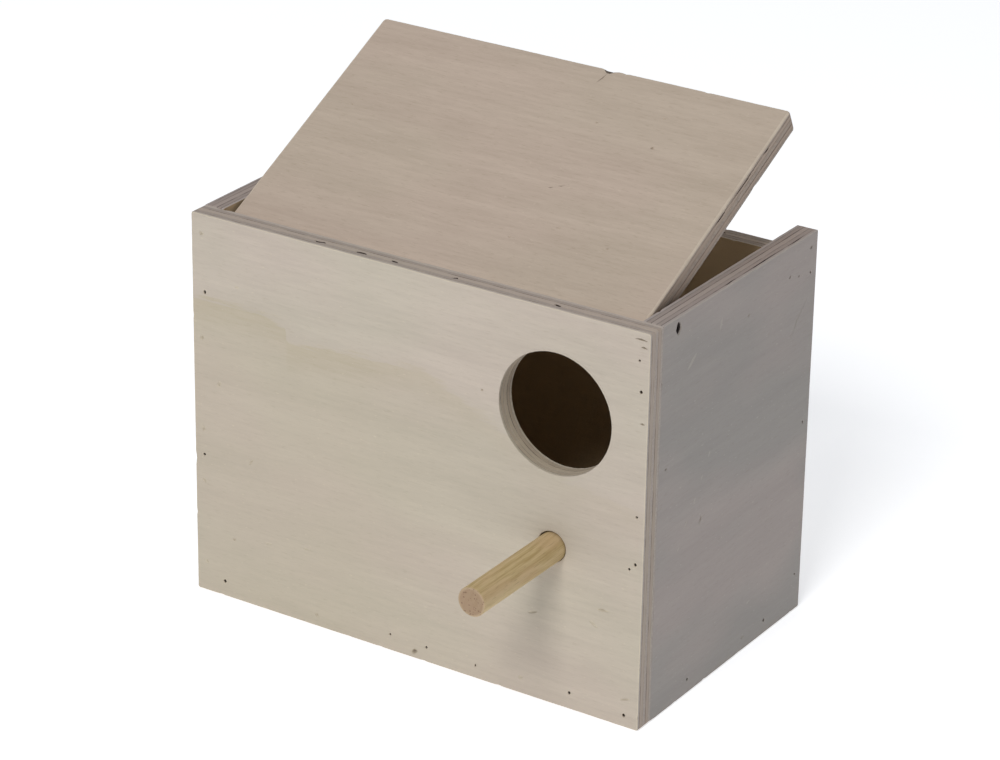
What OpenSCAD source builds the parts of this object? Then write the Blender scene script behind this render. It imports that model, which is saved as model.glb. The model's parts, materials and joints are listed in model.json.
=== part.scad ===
// Nest box for small cage birds: a plywood box with a lift-up lid, a round entrance and a dowel perch.
// Millimetres, +Z up. Origin at the centre of the box's underside. The front faces -Y.

/* [Box] */
// Width across the front
box_w = 210; // [205:1:260]
// Depth from the front face to the back face
box_d = 126; // [116:1:180]
// Height of the front and sides
box_h = 165; // [160:1:220]
// Thickness of the plywood
ply_t = 9; // [8:0.5:10]
// Thickness of the floor
floor_t = 12; // [12:0.5:14]

/* [Entrance and perch] */
// Distance of the entrance and the perch to the right of the centre
entrance_x = 64.5; // [40:0.5:66]
// Height of the entrance hole's centre
entrance_z = 122.5; // [110:0.5:125]
// Diameter of the entrance hole
entrance_dia = 50; // [35:1:52]
// Height of the perch's centre
perch_z = 67; // [40:0.5:72]
// Diameter of the perch
perch_dia = 12; // [8:1:14]
// How far the perch stands out from the front
perch_reach = 55; // [30:1:100]

/* [Lid] */
// Angle at which the lid stands open
lid_open = 26.5; // [0:0.5:120]
// How far the lid's back edge overhangs the back
lid_overhang = 5.5; // [2:0.5:12]
// Gap between the lid and each side
lid_side_gap = 1.2; // [0.6:0.1:2]
// Distance of the pivot nails behind the front face
pivot_y = 20; // [19:0.5:22]

/* [Nest hollow] */
// Diameter of the hollow in the floor
hollow_dia = 90; // [60:1:90]
// Depth of the hollow in the floor
hollow_depth = 8; // [5:0.5:8]
// Distance of the hollow to the left of the centre
hollow_x = 45; // [30:1:46]

/* [Nails and brads] */
// Length of a brad
brad_len = 20; // [16:1:22]
// Diameter of a brad's shank
brad_dia = 1.2; // [1:0.1:1.4]
// Length of a pivot nail
nail_len = 30; // [24:1:40]
// Diameter of a pivot nail's shank
nail_dia = 2; // [1.6:0.1:2.4]

/* [Hidden] */

$fn = 64;

// where the walls stand
front_y = -box_d / 2;
back_y = box_d / 2;
half_w = box_w / 2;
inner_w = box_w - 2 * ply_t;
inner_d = box_d - 2 * ply_t;
side_d = box_d - ply_t;

// the closed lid lies flush with the sides' tops and just clears the back panel
lid_rest_gap = 0.2;
back_h = box_h - ply_t - lid_rest_gap;
lid_w = inner_w - 2 * lid_side_gap;
pivot_z = box_h - ply_t / 2;
lid_back = box_d + lid_overhang - pivot_y;
// the lid's front corners swing past the front panel with this much room
lid_swing_gap = 0.5;
lid_swing = pivot_y - ply_t - lid_swing_gap;
lid_front = sqrt(lid_swing * lid_swing - ply_t * ply_t / 4);

// a brad has a flat head that is set below the face
brad_head_dia = 1.8;
brad_head_t = 0.6;
brad_set = 0.9;
brad_tip = 1.2;

// a pivot nail is pressed into the lid and turns in the side's hole
nail_head_dia = 3.4;
nail_head_t = 0.8;
nail_set = 4;
nail_tip = 2.5;
nail_clearance = 0.05;
nail_pit_dia = 3.8;
nail_pit_depth = nail_set + nail_head_t + 0.2;

perch_chamfer = 0.5;

// brads were driven by eye: [distance in from the side, height as a share of the box's]
front_left_points = [[5, 0.95], [6, 0.8], [4.5, 0.68], [4.5, 0.44], [4.5, 0.37], [4.5, 0.3], [5, 0.08]];
front_right_points = [[4.5, 0.93], [3.5, 0.855], [3.5, 0.545], [3.5, 0.425], [6, 0.41], [6.5, 0.03]];
// [place across as a share of the floor's half width, height] into the floor's front and back edges
front_floor_points = [[-0.95, 6.5], [-0.47, 5], [-0.1, 7], [0.08, 6.5], [0.32, 5.5], [0.54, 7], [0.77, 7]];
back_floor_points = [[-0.73, 6], [-0.25, 6], [0.27, 6], [0.72, 6]];
// heights up the back edge of each side, as a share of the box's height
back_edge_heights = [0.1, 0.51, 0.9];
// places along the floor's side edges, as a share of its half depth
floor_edge_places = [-0.48, 0.31, 0.63];

// a shank along +Z from its head at the origin down to a point
module pin_shape(dia, len, head_dia, head_t, tip) {
    cylinder(d = head_dia, h = head_t);
    cylinder(d = dia, h = len - tip);
    translate([0, 0, len - tip])
        cylinder(d1 = dia, d2 = dia / 4, h = tip);
}

// a brad along +Z, with the wood's face at the origin
module brad() {
    translate([0, 0, brad_set])
        pin_shape(brad_dia, brad_len, brad_head_dia, brad_head_t, brad_tip);
}

// the hole that a brad leaves: its own shape, and the pit above its head
module brad_hole() {
    brad();
    translate([0, 0, -1])
        cylinder(d = brad_head_dia, h = 1 + brad_set + brad_head_t / 2);
}

// children along +Z placed on the front face and turned to point into the wood
module from_front(x, z) {
    translate([x, front_y, z])
        rotate([-90, 0, 0])
            children();
}

module from_back(x, z) {
    translate([x, back_y, z])
        rotate([90, 0, 0])
            children();
}

// side is -1 for the left face and 1 for the right face
module from_side(side, y, z) {
    translate([side * half_w, y, z])
        rotate([0, -side * 90, 0])
            children();
}

module at_front_edge(side, points) {
    for (p = points)
        from_front(side * (half_w - p[0]), p[1] * box_h)
            children();
}

module at_floor_front() {
    for (p = front_floor_points)
        from_front(p[0] * inner_w / 2, p[1])
            children();
}

module at_floor_back() {
    for (p = back_floor_points)
        from_back(p[0] * inner_w / 2, p[1])
            children();
}

module at_back_edge(side) {
    for (z = back_edge_heights)
        from_side(side, back_y - ply_t / 2, z * box_h)
            children();
}

module at_floor_side(side) {
    for (y = floor_edge_places)
        from_side(side, y * inner_d / 2, floor_t / 2)
            children();
}

// all brad holes that the left or right edge of the box has
module side_brad_holes(side) {
    at_front_edge(side, side < 0 ? front_left_points : front_right_points)
        brad_hole();
    at_back_edge(side)
        brad_hole();
    at_floor_side(side)
        brad_hole();
}

// a block centred across the box, standing from z0 up
module block(w, d, h, y0, z0) {
    translate([-w / 2, y0, z0])
        cube([w, d, h]);
}

// the pivot axis, along X, seen from one side's outer face
module at_pivot(side) {
    from_side(side, front_y + pivot_y, pivot_z)
        children();
}

module pivot_nail(side) {
    color("dimgray")
        at_pivot(side)
            translate([0, 0, nail_set])
                pin_shape(nail_dia, nail_len, nail_head_dia, nail_head_t, nail_tip);
}

module front_panel() {
    color("wheat")
        difference() {
            block(box_w, ply_t, box_h, front_y, 0);
            from_front(entrance_x, entrance_z)
                translate([0, 0, -1])
                    cylinder(d = entrance_dia, h = ply_t + 2, $fn = 128);
            from_front(entrance_x, perch_z)
                translate([0, 0, -1])
                    cylinder(d = perch_dia, h = ply_t + 2);
            side_brad_holes(-1);
            side_brad_holes(1);
            at_floor_front()
                brad_hole();
        }
}

module side_panel(side) {
    color("tan")
        difference() {
            translate([side < 0 ? -half_w : half_w - ply_t, front_y + ply_t, 0])
                cube([ply_t, side_d, box_h]);
            side_brad_holes(side);
            at_pivot(side)
                translate([0, 0, -1])
                    cylinder(d = nail_dia + 2 * nail_clearance, h = ply_t + 2);
            at_pivot(side)
                translate([0, 0, -1])
                    cylinder(d = nail_pit_dia, h = 1 + nail_pit_depth);
        }
}

module left_side_panel() {
    side_panel(-1);
}

module right_side_panel() {
    side_panel(1);
}

module back_panel() {
    color("tan")
        difference() {
            block(inner_w, ply_t, back_h, back_y - ply_t, 0);
            side_brad_holes(-1);
            side_brad_holes(1);
            at_floor_back()
                brad_hole();
        }
}

// the floor's hollow is the cap of a sphere that is cut away
module nest_hollow() {
    rim = hollow_dia / 2;
    ball = (rim * rim + hollow_depth * hollow_depth) / (2 * hollow_depth);
    translate([-hollow_x, 0, floor_t - hollow_depth + ball])
        sphere(r = ball, $fn = 128);
}

module floor_panel() {
    color("burlywood")
        difference() {
            block(inner_w, inner_d, floor_t, front_y + ply_t, 0);
            nest_hollow();
            side_brad_holes(-1);
            side_brad_holes(1);
            at_floor_front()
                brad_hole();
            at_floor_back()
                brad_hole();
        }
}

// the lid lies along +Y from its pivot, and is turned up to its open angle
module lid_panel() {
    color("wheat")
        difference() {
            translate([0, front_y + pivot_y, pivot_z])
                rotate([lid_open, 0, 0])
                    block(lid_w, lid_front + lid_back, ply_t, -lid_front, -ply_t / 2);
            pivot_nail(-1);
            pivot_nail(1);
        }
}

module perch_dowel() {
    color("burlywood")
        from_front(entrance_x, perch_z)
            translate([0, 0, -perch_reach]) {
                cylinder(d1 = perch_dia - 2 * perch_chamfer, d2 = perch_dia, h = perch_chamfer);
                translate([0, 0, perch_chamfer])
                    cylinder(d = perch_dia, h = perch_reach + ply_t - perch_chamfer);
            }
}

module left_pivot_nail() {
    pivot_nail(-1);
}

module right_pivot_nail() {
    pivot_nail(1);
}

module front_left_brads() {
    color("silver")
        at_front_edge(-1, front_left_points)
            brad();
}

module front_right_brads() {
    color("silver")
        at_front_edge(1, front_right_points)
            brad();
}

module front_floor_brads() {
    color("silver")
        at_floor_front()
            brad();
}

module left_back_brads() {
    color("silver")
        at_back_edge(-1)
            brad();
}

module right_back_brads() {
    color("silver")
        at_back_edge(1)
            brad();
}

module left_floor_brads() {
    color("silver")
        at_floor_side(-1)
            brad();
}

module right_floor_brads() {
    color("silver")
        at_floor_side(1)
            brad();
}

module back_floor_brads() {
    color("silver")
        at_floor_back()
            brad();
}

front_panel();
back_panel();
left_side_panel();
right_side_panel();
floor_panel();
lid_panel();
perch_dowel();
left_pivot_nail();
right_pivot_nail();
front_left_brads();
front_right_brads();
front_floor_brads();
left_back_brads();
right_back_brads();
left_floor_brads();
right_floor_brads();
back_floor_brads();
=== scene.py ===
import json
import math
import random

import bmesh
import bpy
from mathutils import Matrix
from mathutils import Vector
from mathutils import noise


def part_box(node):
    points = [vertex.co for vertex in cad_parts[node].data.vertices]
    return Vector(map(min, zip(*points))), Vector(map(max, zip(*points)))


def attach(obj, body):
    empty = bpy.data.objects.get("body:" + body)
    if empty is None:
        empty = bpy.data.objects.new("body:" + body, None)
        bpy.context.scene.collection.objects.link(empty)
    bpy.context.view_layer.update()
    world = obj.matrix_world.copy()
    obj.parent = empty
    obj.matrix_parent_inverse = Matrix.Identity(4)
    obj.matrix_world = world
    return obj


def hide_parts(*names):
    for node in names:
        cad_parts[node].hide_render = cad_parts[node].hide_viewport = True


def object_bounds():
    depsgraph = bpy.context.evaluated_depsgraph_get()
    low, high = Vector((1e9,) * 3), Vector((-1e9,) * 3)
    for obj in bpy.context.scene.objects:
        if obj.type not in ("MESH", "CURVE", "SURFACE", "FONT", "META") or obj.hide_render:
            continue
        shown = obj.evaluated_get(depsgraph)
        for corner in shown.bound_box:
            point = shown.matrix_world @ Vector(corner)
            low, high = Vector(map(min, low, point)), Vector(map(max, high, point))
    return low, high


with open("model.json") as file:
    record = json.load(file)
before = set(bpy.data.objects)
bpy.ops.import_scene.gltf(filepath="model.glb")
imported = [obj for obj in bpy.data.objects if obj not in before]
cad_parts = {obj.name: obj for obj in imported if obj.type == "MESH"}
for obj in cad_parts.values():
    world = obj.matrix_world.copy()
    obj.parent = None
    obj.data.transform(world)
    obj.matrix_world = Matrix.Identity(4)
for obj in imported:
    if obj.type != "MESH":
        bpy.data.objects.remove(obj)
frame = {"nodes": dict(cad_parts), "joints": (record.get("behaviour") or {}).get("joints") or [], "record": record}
cadLow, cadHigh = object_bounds()
print("frame loaded with", len(frame["nodes"]), "nodes")

mm = 0.001


# camera and light

camera = {
    "place": (0.7406, -1.1505, 0.7109),
    "turn": (65.82, -0.89, 33.19),  # degrees about X, Y and Z
    "lens": 135.9, "sensor": 36.0,
    "nearest": 0.01,
}

studio = {
    "world": "#F0F4FA",
    "worldStrength": 0.24,
    "backdropStrength": 1.1,  # what shows above the floor
    "floor": "#F4F5F7",
    "floorGlow": 0.52,
    "floorRoughness": 0.9,
    "floorSize": 8.0,
    "floorGap": 0.2,  # mm between the floor and the box
    "lights": {
        # name: place, aim, width, height, watts, colour
        "keyLight": ((0.46, -2.3, 2.35), (0.0, 0.0, 0.08), 1.1, 0.8, 50.0, "#FFFEFC"),
        "topLight": ((-0.1, 0.15, 2.6), (0.0, 0.0, 0.1), 1.6, 1.4, 12.0, "#FFFFFF"),
        "leftLight": ((-2.4, -1.6, 1.5), (0.0, 0.0, 0.1), 1.6, 1.2, 6.0, "#FFFFFF"),
    },
}


def linear(hexColour):
    # sRGB hex to the linear values that shaders and lights take
    channels = [int(hexColour[i:i + 2], 16) / 255 for i in (1, 3, 5)]
    return [c / 12.92 if c <= 0.04045 else ((c + 0.055) / 1.055) ** 2.4 for c in channels] + [1.0]


def addNode(tree, kind, inputs=None, **settings):
    # a shader node with its settings made and its inputs set, or linked to a socket or a node's first output
    node = tree.nodes.new("ShaderNode" + kind)
    for name, value in settings.items():
        if name == "stops":
            ramp = node.color_ramp
            while len(ramp.elements) < len(value):
                ramp.elements.new(1.0)
            for stop, (place, colour) in zip(ramp.elements, value):
                stop.position = place
                stop.color = linear(colour) if isinstance(colour, str) else (colour, colour, colour, 1.0)
        elif name == "interpolation":
            node.color_ramp.interpolation = value
        else:
            setattr(node, name, value)
    for name, value in (inputs or {}).items():
        if isinstance(value, bpy.types.Node):
            value = value.outputs[0]
        if isinstance(value, bpy.types.NodeSocket):
            tree.links.new(value, node.inputs[name])
        else:
            node.inputs[name].default_value = value
    return node


def newMaterial(name):
    material = bpy.data.materials.new(name)
    material.use_nodes = True
    tree = material.node_tree
    tree.nodes.clear()
    return material, tree


def setUpStudio():
    scene = bpy.context.scene
    scene.view_settings.view_transform = "Standard"
    lensObject = bpy.data.objects.new("camera", bpy.data.cameras.new("camera"))
    lensObject.location = camera["place"]
    lensObject.rotation_euler = [math.radians(angle) for angle in camera["turn"]]
    lensObject.data.lens = camera["lens"]
    lensObject.data.sensor_width = camera["sensor"]
    lensObject.data.clip_start = camera["nearest"]
    scene.collection.objects.link(lensObject)
    scene.camera = lensObject

    world = bpy.data.worlds.new("studioAir")
    world.use_nodes = True
    tree = world.node_tree
    tree.nodes.clear()
    seen = addNode(tree, "LightPath").outputs["Is Camera Ray"]
    glow = addNode(tree, "Mix", {0: seen, 2: studio["worldStrength"], 3: studio["backdropStrength"]},
                   data_type="FLOAT")
    sky = addNode(tree, "Background", {"Color": linear(studio["world"]), "Strength": glow})
    addNode(tree, "OutputWorld", {"Surface": sky})
    scene.world = world

    for name, (place, aim, width, height, watts, colour) in studio["lights"].items():
        panel = bpy.data.lights.new(name, "AREA")
        panel.shape = "RECTANGLE"
        panel.size = width
        panel.size_y = height
        panel.energy = watts
        panel.color = linear(colour)[:3]
        lamp = bpy.data.objects.new(name, panel)
        lamp.location = place
        lamp.rotation_euler = (Vector(aim) - Vector(place)).to_track_quat("-Z", "Y").to_euler()
        scene.collection.objects.link(lamp)

    half = studio["floorSize"] / 2
    corners = ((-half, -half), (half, -half), (half, half), (-half, half))
    ground = cadLow[2] - studio["floorGap"] * mm
    mesh = bpy.data.meshes.new("studioFloor")
    mesh.from_pydata([(x, y, ground) for x, y in corners], [], [(0, 1, 2, 3)])
    floor = bpy.data.objects.new("studioFloor", mesh)
    scene.collection.objects.link(floor)
    # matt white background paper: pale and even, so it takes only a soft shadow
    material, tree = newMaterial("studioPaper")
    paper = linear(studio["floor"])
    shader = addNode(tree, "BsdfPrincipled", {"Base Color": paper, "Roughness": studio["floorRoughness"],
                                              "Emission Color": paper,
                                              "Emission Strength": studio["floorGlow"]})
    addNode(tree, "OutputMaterial", {"Surface": shader})
    mesh.materials.append(material)
    print("studio ready")


setUpStudio()


# materials

sheet = {
    # poplar plywood of five plies: glue lines as shares of its thickness, and how dark each one is
    "glueLines": (0.15, 0.37, 0.63, 0.85),
    "glueDark": (0.8, 0.45, 0.95, 0.5),
    "glueWidth": 0.036,  # half the width of a line, drawn wider than the real 0.2 mm
    # one shade for each ply, seen on sawn edges
    "plyShades": ("#FFFFFF", "#F3EEEA", "#FCF8F4", "#EEE8E3", "#FFFFFF"),
    # yellower heartwood below a crooked line, with a tongue at its left: the sheet's length and height in mm,
    # and the line's height along that length, both as shares
    "heartSize": (210.0, 165.0),
    "heartLine": ((0.0, 0.735), (0.15, 0.75), (0.215, 0.722), (0.22, 0.682), (0.31, 0.695), (0.52, 0.715),
                  (0.66, 0.64), (0.8, 0.55), (1.0, 0.51)),
    "bandShare": 0.45,  # growth bands against fibre streaks
    "loopCount": 55.0, "loopStrength": 0.022,  # contour loops
    # innerShare: how strongly the inner faces are painted warmer and yellower, partly painted light
    "innerFace": 0.995, "innerShare": 0.7,  # where a face is an inner one, how yellow it is
    "sawnShare": 0.6,
    "bumpHeight": 0.15,  # mm
    # cycles for each mm along and across the grain, then detail, roughness and distortion
    "patterns": {
        "streaks": (0.055, 0.6, 4.0, 0.6, 0.0),  # fibre bundles 1 to 2 mm wide and 20 mm long
        "bands": (0.006, 0.09, 3.0, 0.55, 0.6),  # growth bands about 11 mm wide
        "clouds": (0.009, 0.018, 2.0, 0.5, 0.0),  # patches 55 to 110 mm across
        "pores": (0.24, 1.9, 2.0, 0.5, 0.0),  # vessel lines, drawn 0.5 mm wide: coarser than real ones
        "flecks": (0.45, 1.1, 1.0, 0.5, 0.0),  # raised fibres and filler, 1 to 2 mm long
        "contour": (0.0035, 0.022, 1.0, 0.4, 0.0),  # the broad loops that rotary cutting leaves
    },
}

# the glue, pore and worn colours also make the painted shade in recesses: glue for the deepest parts, pore for the
# middle, worn for a mark's shallow rim
frontVeneer = {
    "light": "#C4BAAC", "dark": "#B5AB9E", "pink": "#BDAEA4", "olive": "#B6AF9E", "heart": "#AFA388",
    "cloudShare": 0.35, "sawn": "#B1A6A0", "endGrain": "#9F958F", "glue": "#453A35", "pore": "#93856F",
    "poreShare": 0.17, "fleckShare": 0.3, "worn": "#D0C6B0", "inner": "#C9AF86",
}

# the side panels' plywood, used for the floor too: darker and greyer than the front's, partly a darker sheet and
# partly painted shade, as the sides face away from the key light
sideVeneer = {
    "light": "#A8A19B", "dark": "#9A938E", "pink": "#A99D98", "olive": "#95928E", "heart": "#9A9387",
    "cloudShare": 0.5, "sawn": "#AFA29D", "endGrain": "#9D918B", "glue": "#433A38", "pore": "#80766C",
    "poreShare": 0.17, "fleckShare": 0.4, "worn": "#BBB3A9", "inner": "#C9AF86",
}

lidVeneer = {
    "light": "#C4B4A4", "dark": "#B4A494", "pink": "#BEAA9D", "olive": "#B6A897", "heart": "#B3A291",
    "cloudShare": 0.3, "sawn": "#B3A59B", "endGrain": "#978B81", "glue": "#433833", "pore": "#978773",
    "poreShare": 0.26, "fleckShare": 0.3, "worn": "#D0C3B1", "inner": "#C9AF86",
}


def poplarPlywood(name, veneer):
    # Rotary-cut poplar veneers, glued crosswise and sanded: pale and nearly matt, with faint long streaks,
    # short pores, soft pink and olive clouds, and on sawn edges the plies with their dark glue lines.
    # The sheetMm attribute holds each point's place in the sheet in mm: along the grain, across it, depth.
    material, tree = newMaterial(name)
    place = addNode(tree, "Attribute", attribute_name="sheetMm").outputs["Vector"]
    parts = addNode(tree, "SeparateXYZ", {0: place}).outputs
    share, sawnMask, endMask, wornMask, torn = [
        addNode(tree, "Attribute", attribute_name=mask).outputs["Fac"]
        for mask in ("plyShare", "sawnEdge", "endGrain", "wornArris", "tornWood")]
    lines = sheet["glueLines"]

    # every second ply's grain runs across the sheet
    crossing = addNode(tree, "ValToRGB", {0: share}, interpolation="CONSTANT",
                       stops=[(0.0, 0.0), (lines[0], 1.0), (lines[1], 0.0), (lines[2], 1.0), (lines[3], 0.0)])
    turned = addNode(tree, "CombineXYZ", {0: parts[1], 1: parts[0], 2: parts[2]})
    grain = addNode(tree, "Mix", {0: crossing, 4: place, 5: turned}, data_type="VECTOR").outputs[1]
    pattern = {}
    for part, (along, across, detail, rough, warp) in sheet["patterns"].items():
        scaled = addNode(tree, "VectorMath", {0: grain, 1: (along, across, across)}, operation="MULTIPLY")
        pattern[part] = addNode(tree, "TexNoise", {"Vector": scaled, "Scale": 1.0, "Detail": detail,
                                                   "Roughness": rough, "Distortion": warp})

    # streaks, bands and contour loops together
    loops = addNode(tree, "Math", {0: pattern["contour"], 1: sheet["loopCount"]}, operation="MULTIPLY")
    loops = addNode(tree, "Math", {0: loops}, operation="SINE")
    tone = addNode(tree, "Mix", {0: sheet["bandShare"], 2: pattern["streaks"], 3: pattern["bands"]},
                   data_type="FLOAT")
    tone = addNode(tree, "Math", {0: loops, 1: sheet["loopStrength"], 2: tone}, operation="MULTIPLY_ADD")
    wood = addNode(tree, "ValToRGB", {0: tone}, stops=[(0.36, veneer["dark"]), (0.63, veneer["light"])])
    tint = addNode(tree, "ValToRGB", {0: pattern["clouds"]},
                   stops=[(0.4, veneer["olive"]), (0.6, veneer["pink"])])
    wood = addNode(tree, "Mix", {0: veneer["cloudShare"], 6: wood, 7: tint}, data_type="RGBA").outputs[2]

    # heartwood: a crooked edge 2 mm wide, darkest just below it and at the sheet's start
    length, height = sheet["heartSize"]
    along = addNode(tree, "Math", {0: parts[0], 1: length}, operation="DIVIDE")
    line = addNode(tree, "ValToRGB", {0: along}, stops=sheet["heartLine"])
    line = addNode(tree, "Math", {0: pattern["streaks"], 1: 0.1, 2: line}, operation="MULTIPLY_ADD")
    line = addNode(tree, "Math", {0: line, 1: height}, operation="MULTIPLY")
    below = addNode(tree, "Math", {0: line, 1: parts[1]}, operation="SUBTRACT")
    edging = addNode(tree, "MapRange", {0: below, 1: 2.0, 2: 14.0, 3: 0.5, 4: 0.24})
    fading = addNode(tree, "MapRange", {0: along, 1: 0.35, 2: 0.75, 3: 1.0, 4: 0.35})
    edging = addNode(tree, "Math", {0: edging, 1: fading}, operation="MULTIPLY")
    heart = addNode(tree, "MapRange", {0: below, 1: 0.0, 2: 2.0, 3: 0.0, 4: 1.0})
    heart = addNode(tree, "Math", {0: heart, 1: edging}, operation="MULTIPLY")

    # pores, and pale flecks of raised fibre
    poreMask = addNode(tree, "MapRange",
                       {0: pattern["pores"], 1: 0.58, 2: 0.7, 3: 0.0, 4: veneer["poreShare"]})
    flecks = addNode(tree, "MapRange",
                     {0: pattern["flecks"], 1: 0.69, 2: 0.76, 3: 0.0, 4: veneer["fleckShare"]})

    # the inner faces are painted warmer and yellower: partly the yellow of fresh wood, partly painted light
    # standing in for the warm light bounced round inside the box
    inner = addNode(tree, "Math", {0: share, 1: sheet["innerFace"]}, operation="GREATER_THAN")
    inner = addNode(tree, "Math", {0: inner, 1: sheet["innerShare"]}, operation="MULTIPLY")

    # fresh wood shows where the arrises were sanded, and sawn edges are duller
    wornMask = addNode(tree, "Math", {0: wornMask, 1: pattern["bands"]}, operation="MULTIPLY")
    edge = addNode(tree, "Math", {0: sawnMask, 1: sheet["sawnShare"]}, operation="MULTIPLY")
    for mask, colour in ((heart, "heart"), (poreMask, "pore"), (flecks, "worn"), (inner, "inner"),
                         (wornMask, "worn"), (edge, "sawn")):
        wood = addNode(tree, "Mix", {0: mask, 6: wood, 7: linear(veneer[colour])},
                       data_type="RGBA").outputs[2]

    # each ply has its own shade, and end grain is darker with open pores
    shades = addNode(tree, "ValToRGB", {0: share}, interpolation="CONSTANT",
                     stops=list(zip((0.0,) + lines, sheet["plyShades"])))
    wood = addNode(tree, "Mix", {0: 1.0, 6: wood, 7: shades}, data_type="RGBA",
                   blend_type="MULTIPLY").outputs[2]
    dots = addNode(tree, "TexNoise", {"Vector": place, "Scale": 1.1, "Detail": 3.0})
    dots = addNode(tree, "MapRange", {0: dots, 1: 0.35, 2: 0.65, 3: 0.25, 4: 0.85})
    endMask = addNode(tree, "Math", {0: endMask, 1: dots}, operation="MULTIPLY")

    # glue lines, broken where the saw smeared wood over them
    stops = [(0.0, 0.0)]
    for line, dark in zip(lines, sheet["glueDark"]):
        stops += [(line - sheet["glueWidth"], 0.0), (line, dark), (line + sheet["glueWidth"], 0.0)]
    glue = addNode(tree, "ValToRGB", {0: share}, stops=stops)
    smear = addNode(tree, "TexNoise", {"Vector": place, "Scale": 0.11, "Detail": 4.0})
    smear = addNode(tree, "MapRange", {0: smear, 1: 0.4, 2: 0.58, 3: 0.3, 4: 0.9})
    glue = addNode(tree, "Math", {0: glue, 1: smear}, operation="MULTIPLY")
    for mask, colour in ((endMask, "endGrain"), (glue, "glue")):
        wood = addNode(tree, "Mix", {0: mask, 6: wood, 7: linear(veneer[colour])},
                       data_type="RGBA").outputs[2]

    # partly the brown of bruised and torn fibres, partly painted shade: the deeper a face lies in a knock, pit,
    # crack or open glue line, the darker it is painted, and the shallowest rim of a mark is painted paler
    tearAndShadeMask = addNode(tree, "ValToRGB", {0: torn},
                       stops=[(0.0, 0.0), (0.04, 0.4), (0.3, 0.5), (0.6, 0.85), (1.0, 0.92)])
    bruiseAndShadeTint = addNode(tree, "ValToRGB", {0: torn},
                     stops=[(0.08, veneer["worn"]), (0.3, veneer["pore"]), (0.75, veneer["glue"])])
    wood = addNode(tree, "Mix", {0: tearAndShadeMask, 6: wood, 7: bruiseAndShadeTint}, data_type="RGBA").outputs[2]

    rough = addNode(tree, "MapRange", {0: pattern["streaks"], 1: 0.3, 2: 0.7, 3: 0.62, 4: 0.8})
    relief = addNode(tree, "Math", {0: pattern["streaks"], 1: poreMask}, operation="SUBTRACT")
    bump = addNode(tree, "Bump", {"Strength": 0.5, "Distance": sheet["bumpHeight"] * mm, "Height": relief})
    shader = addNode(tree, "BsdfPrincipled", {"Base Color": wood, "Roughness": rough, "Normal": bump,
                                              "IOR": 1.45, "Specular IOR Level": 0.3})
    addNode(tree, "OutputMaterial", {"Surface": shader})
    return material


dowelWood = {"early": "#C4AE84", "late": "#AC9566", "blush": "#C2A681", "pore": "#8A7656", "end": "#947B66",
             "rim": "#B9A385", "endPore": "#6B4C3E",
             # mm: a growth ring, the rod's radius, the pale rim's inner and outer edge from its side, relief
             "ringWidth": 2.6, "radius": 6.0, "rimInner": 1.2, "rimOuter": 0.5, "bumpHeight": 0.1,
             "pith": (0.0, 17.0, -9.0)}  # from the tree's middle to the rod's


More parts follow.
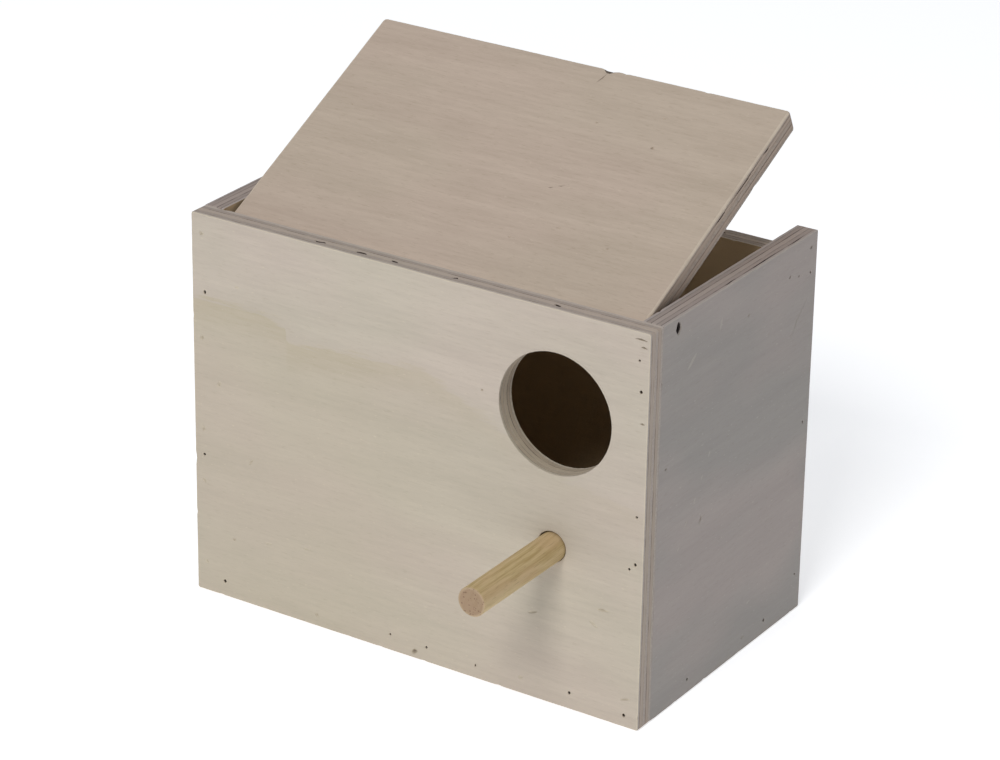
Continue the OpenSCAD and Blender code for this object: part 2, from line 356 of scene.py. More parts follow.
def turnedHardwood(name):
    # A ramin-like hardwood dowel, run through a cutter and left bare: yellow-brown, with growth rings that
    # show as long flames on its side and as arcs on its sawn end, and small dark pores.
    # The grainMm attribute holds each point's place in mm: along the rod, and twice across it.
    material, tree = newMaterial(name)
    place = addNode(tree, "Attribute", attribute_name="grainMm").outputs["Vector"]
    bent = addNode(tree, "VectorMath", {0: place, 1: (0.035, 0.12, 0.12)}, operation="MULTIPLY")
    bend = addNode(tree, "TexNoise", {"Vector": bent, "Scale": 1.0, "Detail": 2.0})
    heart = addNode(tree, "VectorMath", {0: place, 1: dowelWood["pith"]}, operation="ADD")
    heart = addNode(tree, "VectorMath", {0: heart, 1: (0.11, 1.0, 1.0)}, operation="MULTIPLY")
    reach = addNode(tree, "VectorMath", {0: heart}, operation="LENGTH").outputs["Value"]
    reach = addNode(tree, "Math", {0: bend, 1: 4.0, 2: reach}, operation="MULTIPLY_ADD")
    rings = addNode(tree, "Math", {0: reach, 1: 2 * math.pi / dowelWood["ringWidth"]}, operation="MULTIPLY")
    rings = addNode(tree, "Math", {0: rings}, operation="SINE")
    fibre = addNode(tree, "VectorMath", {0: place, 1: (0.08, 2.2, 2.2)}, operation="MULTIPLY")
    fibre = addNode(tree, "TexNoise", {"Vector": fibre, "Scale": 1.0, "Detail": 4.0})
    tone = addNode(tree, "Math", {0: rings, 1: 0.13, 2: fibre}, operation="MULTIPLY_ADD")
    wood = addNode(tree, "ValToRGB", {0: tone},
                   stops=[(0.32, dowelWood["late"]), (0.66, dowelWood["early"])])
    blush = addNode(tree, "MapRange", {0: bend, 1: 0.45, 2: 0.6, 3: 0.0, 4: 0.55})

    # pores are short lines on the side
    poreMap = addNode(tree, "VectorMath", {0: place, 1: (0.25, 2.6, 2.6)}, operation="MULTIPLY")
    pores = addNode(tree, "TexNoise", {"Vector": poreMap, "Scale": 1.0, "Detail": 1.0})
    poreMask = addNode(tree, "MapRange", {0: pores, 1: 0.62, 2: 0.72, 3: 0.0, 4: 0.35})
    endGrain = addNode(tree, "Attribute", attribute_name="endGrain").outputs["Fac"]
    endMask = addNode(tree, "Math", {0: endGrain, 1: 0.8}, operation="MULTIPLY")

    # the cutter left the end's rim a little paler
    offset = addNode(tree, "VectorMath", {0: place, 1: (0.0, 1.0, 1.0)}, operation="MULTIPLY")
    offset = addNode(tree, "VectorMath", {0: offset}, operation="LENGTH").outputs["Value"]
    rim = addNode(tree, "MapRange", {0: offset, 1: dowelWood["radius"] - dowelWood["rimInner"],
                                     2: dowelWood["radius"] - dowelWood["rimOuter"], 3: 0.0, 4: 0.7})
    rim = addNode(tree, "Math", {0: rim, 1: endMask}, operation="MULTIPLY")

    # pores are open dots on the end, drawn 0.6 mm wide: coarser than real ones
    dots = addNode(tree, "TexVoronoi", {"Vector": place, "Scale": 0.75}).outputs["Distance"]
    dots = addNode(tree, "MapRange", {0: dots, 1: 0.16, 2: 0.32, 3: 0.6, 4: 0.0})
    dots = addNode(tree, "Math", {0: dots, 1: endGrain}, operation="MULTIPLY")
    for mask, colour in ((blush, "blush"), (endMask, "end"), (rim, "rim"), (poreMask, "pore"),
                         (dots, "endPore")):
        wood = addNode(tree, "Mix", {0: mask, 6: wood, 7: linear(dowelWood[colour])},
                       data_type="RGBA").outputs[2]

    relief = addNode(tree, "Math", {0: fibre, 1: poreMask}, operation="SUBTRACT")
    bump = addNode(tree, "Bump", {"Strength": 0.4, "Distance": dowelWood["bumpHeight"] * mm, "Height": relief})
    rough = addNode(tree, "MapRange", {0: tone, 1: 0.3, 2: 0.7, 3: 0.62, 4: 0.5})
    shader = addNode(tree, "BsdfPrincipled", {"Base Color": wood, "Roughness": rough, "Normal": bump,
                                              "IOR": 1.45, "Specular IOR Level": 0.35})
    addNode(tree, "OutputMaterial", {"Surface": shader})
    return material


wireSteel = {"bright": "#8A8680", "dull": "#4C4844", "rust": "#5A3A28", "bumpHeight": 0.05}


def drawnWireSteel(name):
    # Mild steel wire, drawn and cut into nails: dull grey, with a film of oxide and rust in 1 mm spots.
    material, tree = newMaterial(name)
    place = addNode(tree, "TexCoord").outputs["Object"]
    film = addNode(tree, "TexNoise", {"Vector": place, "Scale": 900.0, "Detail": 3.0})
    metal = addNode(tree, "ValToRGB", {0: film},
                    stops=[(0.3, wireSteel["rust"]), (0.48, wireSteel["dull"]), (0.7, wireSteel["bright"])])
    rough = addNode(tree, "MapRange", {0: film, 1: 0.3, 2: 0.7, 3: 0.7, 4: 0.42})
    bump = addNode(tree, "Bump", {"Strength": 0.2, "Distance": wireSteel["bumpHeight"] * mm, "Height": film})
    shader = addNode(tree, "BsdfPrincipled", {"Base Color": metal, "Metallic": 1.0, "Roughness": rough,
                                              "Normal": bump})
    addNode(tree, "OutputMaterial", {"Surface": shader})
    return material


boxWood = poplarPlywood("poplarPlywood", frontVeneer)
sideWood = poplarPlywood("darkAndShadedPoplarPlywood", sideVeneer)
lidWood = poplarPlywood("lidPoplarPlywood", lidVeneer)
rodWood = turnedHardwood("turnedHardwood")
steel = drawnWireSteel("drawnWireSteel")
print("materials ready")


# panels are built flat in mm: along the grain, up the panel, depth from the show face

sawn = {
    "step": 1.6,  # spacing of points round a panel's edge
    "corner": 0.8,  # worn corners
    "arris": 0.4, "backArris": 0.12, "buttArris": 0.05,  # edges: sanded, left from the saw, and in a joint
    "wave": 0.1,  # the saw's wander
    "plyShift": 0.1,  # how far single plies stand back
    "groove": 0.12, "grooveHalf": 0.2,  # open glue line: depth, half its width
    "cornerPerArris": 1.7,  # a corner is worn at least this many times its arris
    "flatInset": 4.4,  # where the flat face starts, clear of the deepest chip
    "chipCount": 22,
    "chipReach": (0.7, 2.4),
    "chipDepth": (0.1, 0.45),
    "chipThrough": 1.5,  # how far down the edge a chip runs out
}


def closeRings(shape, rings):
    # walls between rings of points, and a flat end on the first and last
    for low, high in zip(rings, rings[1:]):
        for k in range(len(low)):
            j = (k + 1) % len(low)
            shape.faces.new((low[k], low[j], high[j], high[k]))
    shape.faces.new(rings[0][::-1])
    shape.faces.new(rings[-1])


def pieceOf(name, shape):
    mesh = bpy.data.meshes.new(name)
    shape.to_mesh(mesh)
    shape.free()
    piece = bpy.data.objects.new(name, mesh)
    bpy.context.scene.collection.objects.link(piece)
    return piece


def extent(places):
    # the lowest and highest corner of some points
    return [Vector([end(place[i] for place in places) for i in range(3)]) for end in (min, max)]


def outline(length, height, radius):
    # points round a rectangle with worn corners, each with the way it faces
    corners = ((length - radius, radius, -90), (length - radius, height - radius, 0),
               (radius, height - radius, 90), (radius, radius, 180))
    points = []
    for i, (cu, cv, start) in enumerate(corners):
        for turn in (0, 45, 90):
            angle = math.radians(start + turn)
            points.append((cu + radius * math.cos(angle), cv + radius * math.sin(angle),
                           math.cos(angle), math.sin(angle)))
        nextU, nextV, _ = corners[(i + 1) % 4]
        angle = math.radians(start + 90)
        begin = Vector(points[-1][:2])
        end = Vector((nextU + radius * math.cos(angle), nextV + radius * math.sin(angle)))
        count = int((end - begin).length / sawn["step"])
        for k in range(1, count):
            spot = begin.lerp(end, k / count)
            points.append((spot.x, spot.y, math.cos(angle), math.sin(angle)))
    return points


def edgeSteps(thickness, showArris, backArris):
    # depths through the sheet, with how far the edge stands in there and the ply it belongs to
    turns = [math.radians(turn) for turn in (0, 30, 60, 90)]
    steps = [(showArris * (1 - math.cos(turn)), showArris * (1 - math.sin(turn)), 0) for turn in turns]
    for ply, line in enumerate(sheet["glueLines"]):
        depth = line * thickness
        steps += [(depth - sawn["grooveHalf"], 0.0, ply), (depth, sawn["groove"], ply),
                  (depth + sawn["grooveHalf"], 0.0, ply + 1)]
    lastPly = len(sheet["glueLines"])
    steps += [(thickness - backArris * (1 - math.cos(turn)), backArris * (1 - math.sin(turn)), lastPly)
              for turn in reversed(turns)]
    return steps


def chipsFor(points, thickness, seed):
    # splinters lost from the arrises: place, reach, depth, and which face they broke from
    dice = random.Random(seed)
    chips = []
    for _ in range(sawn["chipCount"]):
        u, v = dice.choice(points)[:2]
        chips.append((Vector((u, v)), dice.uniform(*sawn["chipReach"]), dice.uniform(*sawn["chipDepth"]),
                      dice.choice((0.0, thickness))))
    return chips


def sawnPanel(name, size, seed, arris=None, butts=(), extraChips=()):
    # a sheet of plywood cut to size, closed, with wandering edges, plies that step and chipped arrises
    length, height, thickness = size
    points = outline(length, height, max(sawn["corner"], sawn["cornerPerArris"] * (arris or 0.0)))
    chips = chipsFor(points, thickness, seed) + list(extraChips)
    shape = bmesh.new()
    rings = []
    for u, v, outU, outV in points:
        faced = {"start": -outU, "end": outU, "bottom": -outV, "top": outV}
        inJoint = any(faced[edge] > 0.6 for edge in butts)
        showArris = sawn["buttArris"] if inJoint else arris or sawn["arris"]
        for k, (depth, inset, ply) in enumerate(edgeSteps(thickness, showArris, sawn["backArris"])):
            wander = noise.noise(Vector((u * 0.03, v * 0.03, depth * 0.08 + seed))) * sawn["wave"]
            shift = noise.noise(Vector((u * 0.16, v * 0.16, ply * 7.3 + seed))) * sawn["plyShift"]
            inward = inset + abs(wander) + abs(shift)
            for spot, reach, chipDepth, brokeFrom in chips:
                near = (Vector((u, v)) - spot).length / reach
                fade = 1 - abs(depth - brokeFrom) / sawn["chipThrough"]
                if near < 1 and fade > 0:
                    inward += chipDepth * (1 - near * near) * fade
            if k == len(rings):
                rings.append([])
            rings[k].append(shape.verts.new((u - outU * inward, v - outV * inward, depth)))
    inset = sawn["flatInset"]
    showRing, backRing = [[shape.verts.new((min(max(u, inset), length - inset),
                                            min(max(v, inset), height - inset), depth))
                           for u, v, _, _ in points] for depth in (0.0, thickness)]
    rings = [showRing] + rings + [backRing]
    closeRings(shape, rings)
    bmesh.ops.remove_doubles(shape, verts=shape.verts, dist=0.001)
    bmesh.ops.recalc_face_normals(shape, faces=shape.faces)
    return pieceOf(name, shape)


# cutters for holes and marks, in the same flat mm

cutters = {
    "raggedRate": 0.9,  # noise cycles for each mm round a hole
    "tornDepth": 1.5,  # where a hole's torn points fade out
    "bowlSwell": 0.35,  # how uneven a knock is
    "crackLip": 0.3, "crackEnd": 0.15,  # mm above the face, share left at the ends
    "crackShoulder": (0.8, 0.02),  # share of its width, depth
    "gapLip": 0.6, "gapTaper": 0.6,  # mm out of the edge, share of its width left at the bottom
    "gapSteps": 8,
}


def boredHole(cut, u, v, profile, segments, ragged, seed, torn=0.0):
    # a closed plug of rings (depth, radius), each a little ragged, that a hole is cut with
    # torn draws its mouth out to points above and below
    rings = []
    for depth, radius in profile:
        ring = []
        for k in range(segments):
            angle = 2 * math.pi * k / segments
            rough = noise.noise(Vector((math.cos(angle) * radius * cutters["raggedRate"],
                                        math.sin(angle) * radius * cutters["raggedRate"],
                                        depth * cutters["raggedRate"] + seed))) * ragged
            fade = max(0.0, 1 - max(depth, 0.0) / cutters["tornDepth"])
            rough += radius * torn * abs(math.sin(angle)) ** 5 * fade
            ring.append(cut.verts.new((u + (radius + rough) * math.cos(angle),
                                       v + (radius + rough) * math.sin(angle), depth)))
        rings.append(ring)
    closeRings(cut, rings)


def dent(cut, u, v, length, width, depth, turn, seed):
    # a knock: a shallow oval bowl in the show face
    made = bmesh.ops.create_uvsphere(cut, u_segments=14, v_segments=9, radius=0.5)["verts"]
    place = Matrix.Translation((u, v, 0)) @ Matrix.Rotation(math.radians(turn), 4, "Z")
    place = place @ Matrix.Diagonal((length, width, depth * 2, 1))
    for vert in made:
        swell = 1 + cutters["bowlSwell"] * noise.noise(vert.co * 3 + Vector((seed, 0, 0)))
        vert.co = place @ (vert.co * swell)


def split(cut, points, width, depth):
    # a crack: a narrow V along a crooked line, closing at both ends
    shoulder, shoulderDepth = cutters["crackShoulder"]
    rings = []
    last = len(points) - 1
    for i, (u, v) in enumerate(points):
        ahead = Vector(points[min(i + 1, last)]) - Vector(points[max(i - 1, 0)])
        across = Vector((-ahead.y, ahead.x)).normalized() * width / 2
        wide = cutters["crackEnd"] if i in (0, last) else 1.0
        section = ((-wide, -cutters["crackLip"]), (wide, -cutters["crackLip"]),
                   (wide * shoulder, shoulderDepth), (0.0, depth * wide), (-wide * shoulder, shoulderDepth))
        rings.append([cut.verts.new((u + across.x * reach, v + across.y * reach, down))
                      for reach, down in section])
    closeRings(cut, rings)


def edgeGap(cut, start, run, inward, length, width, depth):
    # an open stretch of a glue line, or a void in a ply, let into a sawn edge
    across = run.cross(inward)
    rings = []
    for k in range(cutters["gapSteps"] + 1):
        share = k / cutters["gapSteps"]
        swell = max(math.sin(math.pi * share) ** 0.6, 0.12)
        bend = across * noise.noise(start * 0.3 + run * (share * 2.0)) * width * 0.5
        spot = start + run * (length * share) + bend
        half = across * (width / 2 * swell)
        outer = spot - inward * cutters["gapLip"]
        bottom = spot + inward * (depth * swell)
        rings.append([cut.verts.new(outer - half), cut.verts.new(outer + half),
                      cut.verts.new(bottom + half * cutters["gapTaper"]),
                      cut.verts.new(bottom - half * cutters["gapTaper"])])
    closeRings(cut, rings)


def topGaps(cut, gaps, height, line, size):
    # open stretches along a panel's top edge, each with its place and length
    for place, reach in gaps:
        edgeGap(cut, Vector((place, height, line)), Vector((1, 0, 0)), Vector((0, -1, 0)), reach, *size)


def carve(piece, cut):
    # takes the cutters away from a piece
    bmesh.ops.recalc_face_normals(cut, faces=cut.faces)
    tool = pieceOf("cutter", cut)
    change = piece.modifiers.new("carve", "BOOLEAN")
    change.operation = "DIFFERENCE"
    change.solver = "EXACT"
    change.object = tool
    graph = bpy.context.evaluated_depsgraph_get()
    carved = bpy.data.meshes.new_from_object(piece.evaluated_get(graph))
    if not carved.polygons:
        raise RuntimeError("cutters or rings overlap in " + piece.name)
    piece.modifiers.clear()
    piece.data = carved
    bpy.data.objects.remove(tool)


faceMarks = {
    "edge": 1.5,  # faces this near a side belong to the sawn edge
    "arris": 1.2, "gap": 0.35, "plyDepth": 0.9,  # a worn arris, a gap's mouth, and a gap's depth in the sheet
    # how deep a carved face lies when it is painted fully dark as shade, the curve of that darkening, and the skin
    # at the back that is left unpainted
    "tornDepth": 0.65, "recessShadeCurve": 1.6, "backSkin": 0.5,
    "bore": 0.15,  # how much of the sawn look a clean bore keeps
    "broken": 0.7,
}


def markPlies(piece, size, cutFrom, clean=(), broken=()):
    # where each point lies in the sheet it was cut from, how each face was cut or worn, and how dark it is painted
    # for torn fibres and for painted shade in recesses clean and broken list round places with none of that
    # darkening or only a fixed share of it: across, up, radius
    length, height, thickness = size
    mesh = piece.data
    kinds = {"sheetMm": ("FLOAT_VECTOR", "POINT"), "plyShare": ("FLOAT", "POINT")}
    kinds.update({name: ("FLOAT", "FACE") for name in ("endGrain", "sawnEdge", "wornArris", "tornWood")})
    for name, (kind, domain) in kinds.items():
        mesh.attributes.new(name, kind, domain)
    place, share, ends, edges, worn, torn = [mesh.attributes[name].data for name in kinds]
    for i, vert in enumerate(mesh.vertices):
        place[i].vector = vert.co + Vector((cutFrom[0], cutFrom[1], 0.0))
        share[i].value = min(max(vert.co.z / thickness, 0.0), 1.0)
    for i, face in enumerate(mesh.polygons):
        u, v, depth = face.center
        tilt = abs(face.normal.z)
        ply = sum(depth / thickness > line for line in sheet["glueLines"])
        along = abs(face.normal.x if ply % 2 == 0 else face.normal.y)
        ends[i].value = max(0.0, (along - 0.9) / 0.1)
        edges[i].value = 1.0 if tilt < 0.3 else 0.0
        inside = min(u, length - u, v, height - v)
        if inside < faceMarks["edge"]:
            worn[i].value = 1.0 if 0.3 <= tilt < 0.99 and depth < faceMarks["arris"] else 0.0
            # painted shade: faces inside an open glue line, back from its mouth and away from both faces, are
            # painted darkest
            deep = faceMarks["plyDepth"] < depth < thickness - faceMarks["plyDepth"]
            torn[i].value = 1.0 if inside > faceMarks["gap"] and deep else 0.0
        elif all(math.hypot(u - cu, v - cv) > radius for cu, cv, radius in clean):
            # painted shade: faces carved into the show face are painted darker the deeper they lie
            deep = min(1.0, depth / faceMarks["tornDepth"]) ** faceMarks["recessShadeCurve"]
            torn[i].value = deep if depth < thickness - faceMarks["backSkin"] else 0.0
        else:
            ends[i].value *= faceMarks["bore"]
            edges[i].value *= faceMarks["bore"]
            worn[i].value = 1.0 if tilt < 0.3 else 0.0
        if any(math.hypot(u - cu, v - cv) < radius for cu, cv, radius in broken) and tilt < 0.99:
            torn[i].value = faceMarks["broken"]


def standUp(piece, axes, origin, node, material):
    # from flat mm to the frame in metres, in place of its CAD node
    toFrame = Matrix([[axes[0][i], axes[1][i], axes[2][i], 0] for i in range(3)] + [[0, 0, 0, 1]])
    toFrame = Matrix.Translation(origin) @ toFrame @ Matrix.Diagonal((mm, mm, mm, 1))
    piece.data.transform(toFrame)
    if toFrame.determinant() < 0:
        piece.data.flip_normals()
    piece.data.materials.clear()
    piece.data.materials.append(material)
    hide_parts(node)


def islandCentres(node):
    # the middle of each separate solid in a CAD node, such as each brad of a row
    shape = bmesh.new()
    shape.from_mesh(frame["nodes"][node].data)
    bmesh.ops.remove_doubles(shape, verts=shape.verts, dist=0.001 * mm)
    left = set(shape.verts)
    centres = []
    while left:
        group = [left.pop()]
        for vert in group:
            for edge in vert.link_edges:
                other = edge.other_vert(vert)
                if other in left:
                    left.discard(other)
                    group.append(other)
        low, high = extent([vert.co for vert in group])
        centres.append((low + high) / 2)
    shape.free()
    return sorted(centres, key=lambda centre: (-round(centre.z, 4), centre.x, centre.y))


bradPit = {
    # depth and radius down to the sunk head: a dished mouth, torn fibres closing in, then the punch's width
    "profile": ((-0.5, 1.2), (0.0, 1.05), (0.12, 0.66), (0.45, 0.54), (0.75, 0.62), (0.88, 0.93),
                (1.62, 0.93)),
    "segments": 14, "ragged": 0.2, "torn": 0.3,
    "swell": (0.72, 0.42), "swellDepth": 0.8,  # the mouth's least width and what chance adds, down to here
    "dimple": (2.4, 1.7, 0.28),  # length, width, depth
}


def flatPlace(spot, low, across):
    # across and up a standing panel in mm, from its lowest corner
    return (spot[across] - low[across]) / mm, (spot.z - low.z) / mm


def bradPits(cut, node, low, across, closed, seed):
    # open pits over the sunk brads, or only a dimple where the fibres closed again
    least, more = bradPit["swell"]
    for i, centre in enumerate(islandCentres(node)):
        u, v = flatPlace(centre, low, across)
        if i in closed:
            dent(cut, u, v, *bradPit["dimple"], turn=25 * i, seed=seed + i)
        else:
            swell = least + more * random.Random(seed + i).random()
            profile = [(depth, radius * (swell if depth < bradPit["swellDepth"] else 1.0))
                       for depth, radius in bradPit["profile"]]
            boredHole(cut, u, v, profile, bradPit["segments"], bradPit["ragged"], seed + i * 3.1,
                      torn=bradPit["torn"] * (i % 2))


def sawnHole(cut, u, v, radius, thickness, wall):
    # a hole right through the sheet, with eased rims and the plies' open glue lines
    rim, groove = wall["rim"], wall["groove"]
    profile = [(-1.0, radius + rim), (0.0, radius + rim), (rim * 0.45, radius + rim * 0.3),
               (rim * 1.3, radius)]
    for line in sheet["glueLines"]:
        depth = line * thickness
        profile += [(depth - sawn["grooveHalf"], radius), (depth, radius + groove),
                    (depth + sawn["grooveHalf"], radius)]
    profile += [(thickness - rim * 1.3, radius), (thickness - rim * 0.45, radius + rim * 0.3),
                (thickness, radius + rim), (thickness + 1.0, radius + rim)]
    boredHole(cut, u, v, profile, wall["segments"], wall["ragged"], wall["seed"])


# front panel, with the entrance and the perch's hole

front = {
    "seed": 11,
    "cutFrom": (0, 0),  # where in the sheet the panel was cut
    "entrance": {"tighter": 0.1, "rim": 0.2, "groove": 0.14, "segments": 180, "ragged": 0.1, "seed": 3},
    "perchHole": {"rim": 0.25, "groove": 0.08, "segments": 72, "ragged": 0.1, "seed": 5},
    "cleanRing": 1,  # round a hole, where nothing is torn
    "perchSlack": 0.3,  # the perch's hole is this much wider round the rod
    "perchLift": 0.22,  # and sits this much high, so the rod leaves a gap above it
    # rows of brads: node, those that closed again, seed
    "brads": (("front_left_brads", (0, 2, 3, 5, 6), 21), ("front_right_brads", (), 43),
              ("front_floor_brads", (1, 6), 67)),
    # knocks and filled pores: place across and up from the lower left, length, width, depth, turn
    "knocks": ((162, 37, 5.0, 1.1, 0.3, 20), (12.5, 94, 3.0, 1.8, 0.3, 60), (22, 138, 2.2, 1.2, 0.2, 0),
               (19, 27, 1.6, 1.1, 0.3, 10), (28, 64, 3.4, 1.0, 0.25, 50), (193, 47, 5.5, 1.3, 0.3, 5),
               (189, 40, 4.0, 1.6, 0.25, 150), (137, 124, 1.3, 1.1, 0.35, 0), (204, 12, 4.5, 1.0, 0.3, 20),
               (107, 2.9, 3.4, 2.2, 0.5, 30), (36, 30, 4.0, 1.0, 0.2, 10), (55, 33, 3.0, 0.9, 0.2, 0)),
    # torn fibres near the upper right corner
    "splinters": (((203.4, 161.9), (206.0, 162.0), (208.7, 161.8)),
                  ((206.0, 159.0), (207.4, 159.0), (208.7, 158.8)),
                  ((206.6, 128.4), (207.6, 128.4), (208.6, 128.3))),
    "splinterSize": (1.0, 1.0),  # width, depth
    # open glue line along the top: place, length
    "gaps": ((57, 5.5), (76, 6.0), (92.5, 4.0), (121, 2.5), (166, 3.5)),
    "gapSize": (1.3, 1.8),
}


def buildFront():
    low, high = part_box("front_panel")
    length, thickness, height = (high - low) / mm
    panel = sawnPanel("frontPanel", (length, height, thickness), front["seed"])
    cut = bmesh.new()
    mount = next(m for m in frame["record"]["mounts"] if m["name"] == "entrance_hole")
    u = (mount["pos_m"][0] - low.x) / mm
    v = (mount["pos_m"][2] - low.z) / mm
    radius = mount["dims"]["r_mm"]
    sawnHole(cut, u, v, radius - front["entrance"]["tighter"], thickness, front["entrance"])
    clean = [(u, v, radius + front["cleanRing"])]
    rodLow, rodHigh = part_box("perch_dowel")
    radius = (rodHigh.x - rodLow.x) / 2 / mm + front["perchSlack"]
    u = ((rodLow.x + rodHigh.x) / 2 - low.x) / mm
    v = ((rodLow.z + rodHigh.z) / 2 - low.z) / mm + front["perchLift"]
    sawnHole(cut, u, v, radius, thickness, front["perchHole"])
    clean.append((u, v, radius + front["cleanRing"]))
    for node, closed, seed in front["brads"]:
        bradPits(cut, node, low, 0, closed, seed)
    for i, knock in enumerate(front["knocks"]):
        dent(cut, *knock, seed=i * 1.7)
    for points in front["splinters"]:
        split(cut, points, *front["splinterSize"])
    topGaps(cut, front["gaps"], height, sheet["glueLines"][1] * thickness, front["gapSize"])
    carve(panel, cut)
    markPlies(panel, (length, height, thickness), front["cutFrom"], clean)
    standUp(panel, ((1, 0, 0), (0, 0, 1), (0, 1, 0)), (low.x, low.y, low.z), "front_panel", boxWood)
    return panel


# side panels, with the pivot nails' pits and the brads along the back and the floor

side = {
    "leftSeed": 31, "rightSeed": 47,
    "leftCutFrom": (410, 260), "rightCutFrom": (700, 90),
    "pit": 1.9, "bore": 1.05,  # radii of the nail's pit and of the hole it turns in
    "pitDeeper": 1.0,  # how far the pit goes on past the nail's end
    "pitSegments": 28, "pitRagged": 0.35, "pitTorn": 0.5,
    "backSeed": 2, "floorSeed": 5,
    # on the right panel: knocks and a scratch, behind its front edge and up
    "knocks": ((5.5, 105, 1.8, 1.4, 0.35, 0), (33, 73, 4.5, 1.8, 0.35, 60), (112, 159, 2.0, 1.5, 0.4, 0),
               (96, 152, 2.2, 1.2, 0.3, 20), (103, 150, 1.8, 1.0, 0.3, 0), (64, 147, 2.4, 1.4, 0.3, 40),
               (22, 143, 9.0, 2.2, 0.12, 38), (43, 151, 6.0, 1.6, 0.1, 80), (38, 99, 3.2, 1.2, 0.12, 60),
               (33, 91, 2.6, 1.0, 0.12, 50), (28, 83, 3.0, 1.1, 0.12, 55), (22, 75.5, 3.4, 1.0, 0.12, 48),
               (17, 67, 2.4, 1.0, 0.12, 40), (74, 20, 3.0, 1.0, 0.12, 20)),
    "scratch": ((97.5, 123), (103.0, 131), (110.5, 138)), "scratchSize": (0.9, 0.3),  # width, depth
    # open glue line along the top: behind the front edge, length
    "gaps": ((46, 9), (62, 26), (93, 15)), "gapSize": (0.55, 1.1),
}


def buildSide(which):
    node = which + "_side_panel"
    low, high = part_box(node)
    thickness, length, height = (high - low) / mm
    seed = side[which + "Seed"]
    panel = sawnPanel(which + "SidePanel", (length, height, thickness), seed, butts=("start",))
    cut = bmesh.new()
    outer, inward = (low.x, 1) if which == "left" else (high.x, -1)
    nailLow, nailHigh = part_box(which + "_pivot_nail")
    u, v = flatPlace((nailLow + nailHigh) / 2, low, 1)
    pitFloor = min(abs(nailLow.x - outer), abs(nailHigh.x - outer)) / mm + side["pitDeeper"]
    profile = [(-0.5, side["pit"] + 0.15), (0.0, side["pit"] + 0.05), (0.5, side["pit"] - 0.05),
               (pitFloor, side["pit"]), (pitFloor + 0.05, side["bore"]), (thickness + 1, side["bore"])]
    boredHole(cut, u, v, profile, side["pitSegments"], side["pitRagged"], seed, torn=side["pitTorn"])
    bradPits(cut, which + "_back_brads", low, 1, (), seed + side["backSeed"])
    bradPits(cut, which + "_floor_brads", low, 1, (1,), seed + side["floorSeed"])
    if which == "right":
        for i, knock in enumerate(side["knocks"]):
            dent(cut, *knock, seed=i * 2.3)
        split(cut, side["scratch"], *side["scratchSize"])
    topGaps(cut, side["gaps"], height, sheet["glueLines"][0] * thickness, side["gapSize"])
    carve(panel, cut)
    markPlies(panel, (length, height, thickness), side[which + "CutFrom"])
    # the side panels take the darker, greyer plywood: partly painted shade
    standUp(panel, ((0, 1, 0), (0, 0, 1), (inward, 0, 0)), (outer, low.y, low.z), node, sideWood)
    return panel


# back panel and floor

back = {
    "seed": 59, "bradSeed": 83,
    "cutFrom": (260, 520),
    # a void in the middle ply's top edge: place, length, then width, depth
    "voids": ((158, 4.6),), "voidSize": (1.5, 2.0),
}

base = {
    "seed": 73,
    "cutFrom": (560, 420),
    "hollowWidth": 90.0, "hollowDepth": 8.0, "hollowLeft": 45.0,  # the nest hollow, left of the middle
    "hollowSegments": (144, 96),
}


def buildBack():
    low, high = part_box("back_panel")
    length, thickness, height = (high - low) / mm
    panel = sawnPanel("backPanel", (length, height, thickness), back["seed"], butts=("start", "end"))
    cut = bmesh.new()
    bradPits(cut, "back_floor_brads", low, 0, (2,), back["bradSeed"])
    topGaps(cut, back["voids"], height, thickness / 2, back["voidSize"])
    carve(panel, cut)
    markPlies(panel, (length, height, thickness), back["cutFrom"])
    standUp(panel, ((1, 0, 0), (0, 0, 1), (0, -1, 0)), (low.x, high.y, low.z), "back_panel", boxWood)
    return panel


def buildFloor():
    low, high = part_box("floor_panel")
    length, depth, thickness = (high - low) / mm
    panel = sawnPanel("floorPanel", (length, depth, thickness), base["seed"], arris=sawn["backArris"])
    cut = bmesh.new()
    rim = base["hollowWidth"] / 2
    ball = (rim * rim + base["hollowDepth"] ** 2) / (2 * base["hollowDepth"])
    middle = Vector((-base["hollowLeft"] - low.x / mm, depth / 2, base["hollowDepth"] - ball))
    around, tall = base["hollowSegments"]
    for vert in bmesh.ops.create_uvsphere(cut, u_segments=around, v_segments=tall, radius=ball)["verts"]:
        vert.co += middle
    carve(panel, cut)
    markPlies(panel, (length, depth, thickness), base["cutFrom"], [(middle.x, middle.y, rim + 1)])
    # the floor takes the darker plywood: partly a darker sheet, partly painted shade that keeps the box's inside
    # dark through the entrance
    standUp(panel, ((1, 0, 0), (0, 1, 0), (0, 0, -1)), (low.x, low.y, high.z), "floor_panel", sideWood)
    return panel


# lid, built shut and then turned up about its pivot

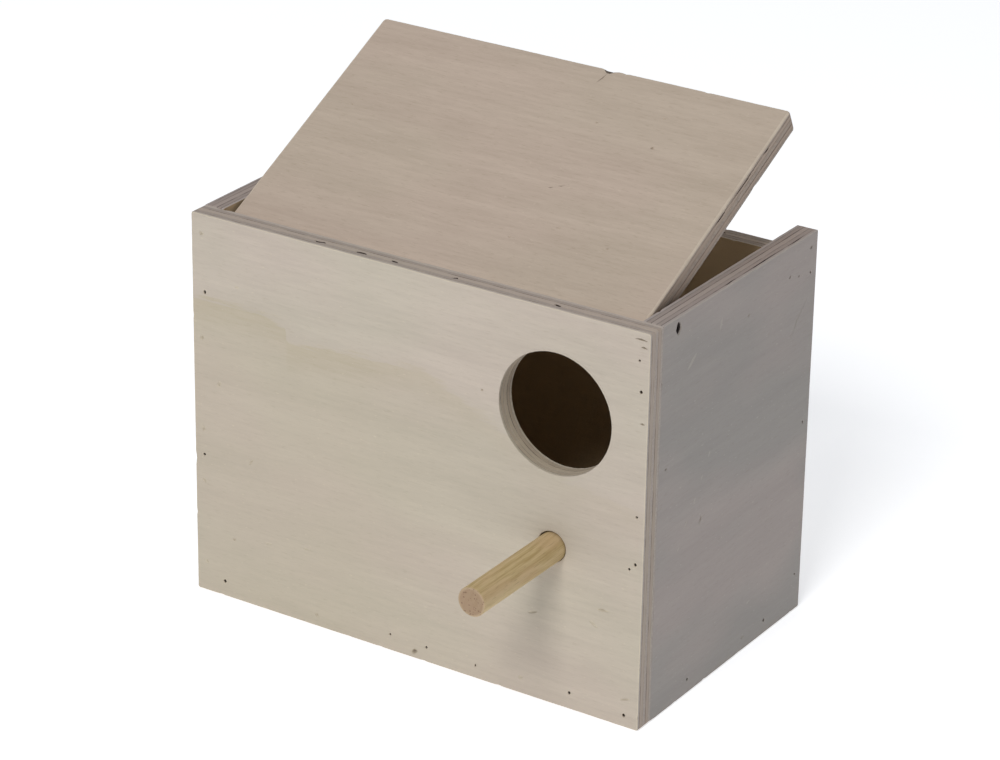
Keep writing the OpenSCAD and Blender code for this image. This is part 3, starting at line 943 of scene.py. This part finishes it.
lid = {
    "seed": 97,
    "cutFrom": (980, 640),
    "arris": 1.0,  # sanded round, for hands
    "notch": (108.5, 2.8, 2.2),  # a torn notch in the back edge: place, reach, depth
    "notchTorn": 0.8,  # share of its reach that is torn
    "cracks": (((108.3, 118.6), (107.6, 115.4), (106.4, 112.4)),
               ((117.2, 55.4), (118.4, 55.6), (119.3, 56.2)),
               ((120.8, 57.2), (121.9, 57.5), (123.2, 58.4)),
               ((124.5, 59.0), (125.2, 60.3)), ((126.4, 61.3), (127.7, 61.8)),
               ((128.9, 63.7), (130.2, 65.1))),
    "crackSize": (0.6, 0.8),  # width, depth
    "knocks": ((14.5, 72.5, 1.5, 1.0, 0.3, 0), (146.5, 86.5, 1.6, 1.4, 0.45, 0),
               (118, 92.5, 1.6, 0.8, 0.3, 10), (143.5, 102.4, 2.2, 0.8, 0.25, 5),
               (116, 27.5, 1.2, 0.9, 0.3, 0), (132.5, 37.5, 2.4, 1.0, 0.3, 20),
               (156.5, 33.5, 1.2, 0.9, 0.3, 0)),
    # open glue line along the right edge: place from the pivot's side, length
    "gaps": ((58, 9), (70, 24), (97, 6)), "gapSize": (0.55, 1.1), "gapDrop": 0.3,
}


def buildLid():
    hinge = next(j for j in frame["joints"] if j["name"] == "lid_hinge")
    pivot = Vector(hinge["pos_m"])
    openAngle = -math.radians(hinge["range_deg"][0])
    shut = Matrix.Translation(pivot) @ Matrix.Rotation(-openAngle, 4, "X") @ Matrix.Translation(-pivot)
    low, high = extent([shut @ vert.co for vert in frame["nodes"]["lid_panel"].data.vertices])
    length, depth, thickness = (high - low) / mm
    notchPlace, notchReach, notchDepth = lid["notch"]
    panel = sawnPanel("lidPanel", (length, depth, thickness), lid["seed"], arris=lid["arris"],
                      extraChips=[(Vector((notchPlace, depth)), notchReach, notchDepth, 0.0)])
    cut = bmesh.new()
    for points in lid["cracks"]:
        split(cut, points, *lid["crackSize"])
    for i, knock in enumerate(lid["knocks"]):
        dent(cut, *knock, seed=i * 1.9)
    line = sheet["glueLines"][0] * thickness + lid["gapDrop"]
    for place, reach in lid["gaps"]:
        edgeGap(cut, Vector((length, place, line)), Vector((0, 1, 0)), Vector((-1, 0, 0)), reach,
                *lid["gapSize"])
    carve(panel, cut)
    markPlies(panel, (length, depth, thickness), lid["cutFrom"],
              broken=[(notchPlace, depth, notchReach * lid["notchTorn"])])
    standUp(panel, ((1, 0, 0), (0, 1, 0), (0, 0, -1)), (low.x, low.y, high.z), "lid_panel", lidWood)
    panel.data.transform(shut.inverted())
    return panel


# perch

perch = {
    "segments": 96,
    "eased": 0.5,  # rounding of the sawn end
    "oval": 0.04, "wave": 0.05, "sawMark": 0.06,
    "endShares": (0.15, 0.35, 0.55, 0.75, 0.9, 1.0), "easedTurns": (25, 50, 75, 90),
    "ringSpacing": 1.5,
    "sharpAngle": 50,
}


def buildPerch():
    low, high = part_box("perch_dowel")
    radius = (high.x - low.x) / 2 / mm
    reach = (high.y - low.y) / mm
    eased = perch["eased"]
    levels = [(0.0, share * (radius - eased)) for share in perch["endShares"]]
    for turn in perch["easedTurns"]:
        angle = math.radians(turn)
        levels.append((eased * (1 - math.cos(angle)), radius - eased + eased * math.sin(angle)))
    count = int(reach / perch["ringSpacing"])
    levels += [(eased + (reach - eased) * k / count, radius) for k in range(1, count + 1)]
    shape = bmesh.new()
    rings = []
    for along, size in levels:
        ring = []
        for k in range(perch["segments"]):
            angle = 2 * math.pi * k / perch["segments"]
            outward = Vector((math.cos(angle), math.sin(angle)))
            wave = noise.noise(Vector((along * 0.05, outward.x * 1.5, outward.y * 1.5))) * perch["wave"]
            own = size
            if size > 1:
                own -= perch["oval"] * (1 + math.cos(2 * angle)) / 2 + abs(wave)
            rough = 0.0
            if along == 0.0:
                mark = Vector((size * outward.x * 1.3, 4.0, size * outward.y))
                rough = perch["sawMark"] * (1 + noise.noise(mark))
            ring.append(shape.verts.new((along + rough, own * outward.x, own * outward.y)))
        rings.append(ring)
    closeRings(shape, rings)
    bmesh.ops.recalc_face_normals(shape, faces=shape.faces)
    rod = pieceOf("perchRod", shape)
    mesh = rod.data
    place = mesh.attributes.new("grainMm", "FLOAT_VECTOR", "POINT")
    for i, vert in enumerate(mesh.vertices):
        place.data[i].vector = vert.co
    ends = mesh.attributes.new("endGrain", "FLOAT", "FACE")
    for i, face in enumerate(mesh.polygons):
        ends.data[i].value = abs(face.normal.x) ** 2
        face.use_smooth = True
    mesh.set_sharp_from_angle(angle=math.radians(perch["sharpAngle"]))
    middle = ((low.x + high.x) / 2, low.y, (low.z + high.z) / 2)
    standUp(rod, ((0, 1, 0), (1, 0, 0), (0, 0, 1)), middle, "perch_dowel", rodWood)
    return rod


def finishPiece(piece, body):
    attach(piece, body)
    print("built", piece.name, len(piece.data.polygons), "faces")


for panel in (buildFront(), buildSide("left"), buildSide("right"), buildBack(), buildFloor()):
    finishPiece(panel, "box")
finishPiece(buildLid(), "lid")
finishPiece(buildPerch(), "box")

for nodeName, node in frame["nodes"].items():
    if nodeName.endswith(("_brads", "_nail")):
        node.data.materials.clear()
        node.data.materials.append(steel)
print("nails and brads finished")
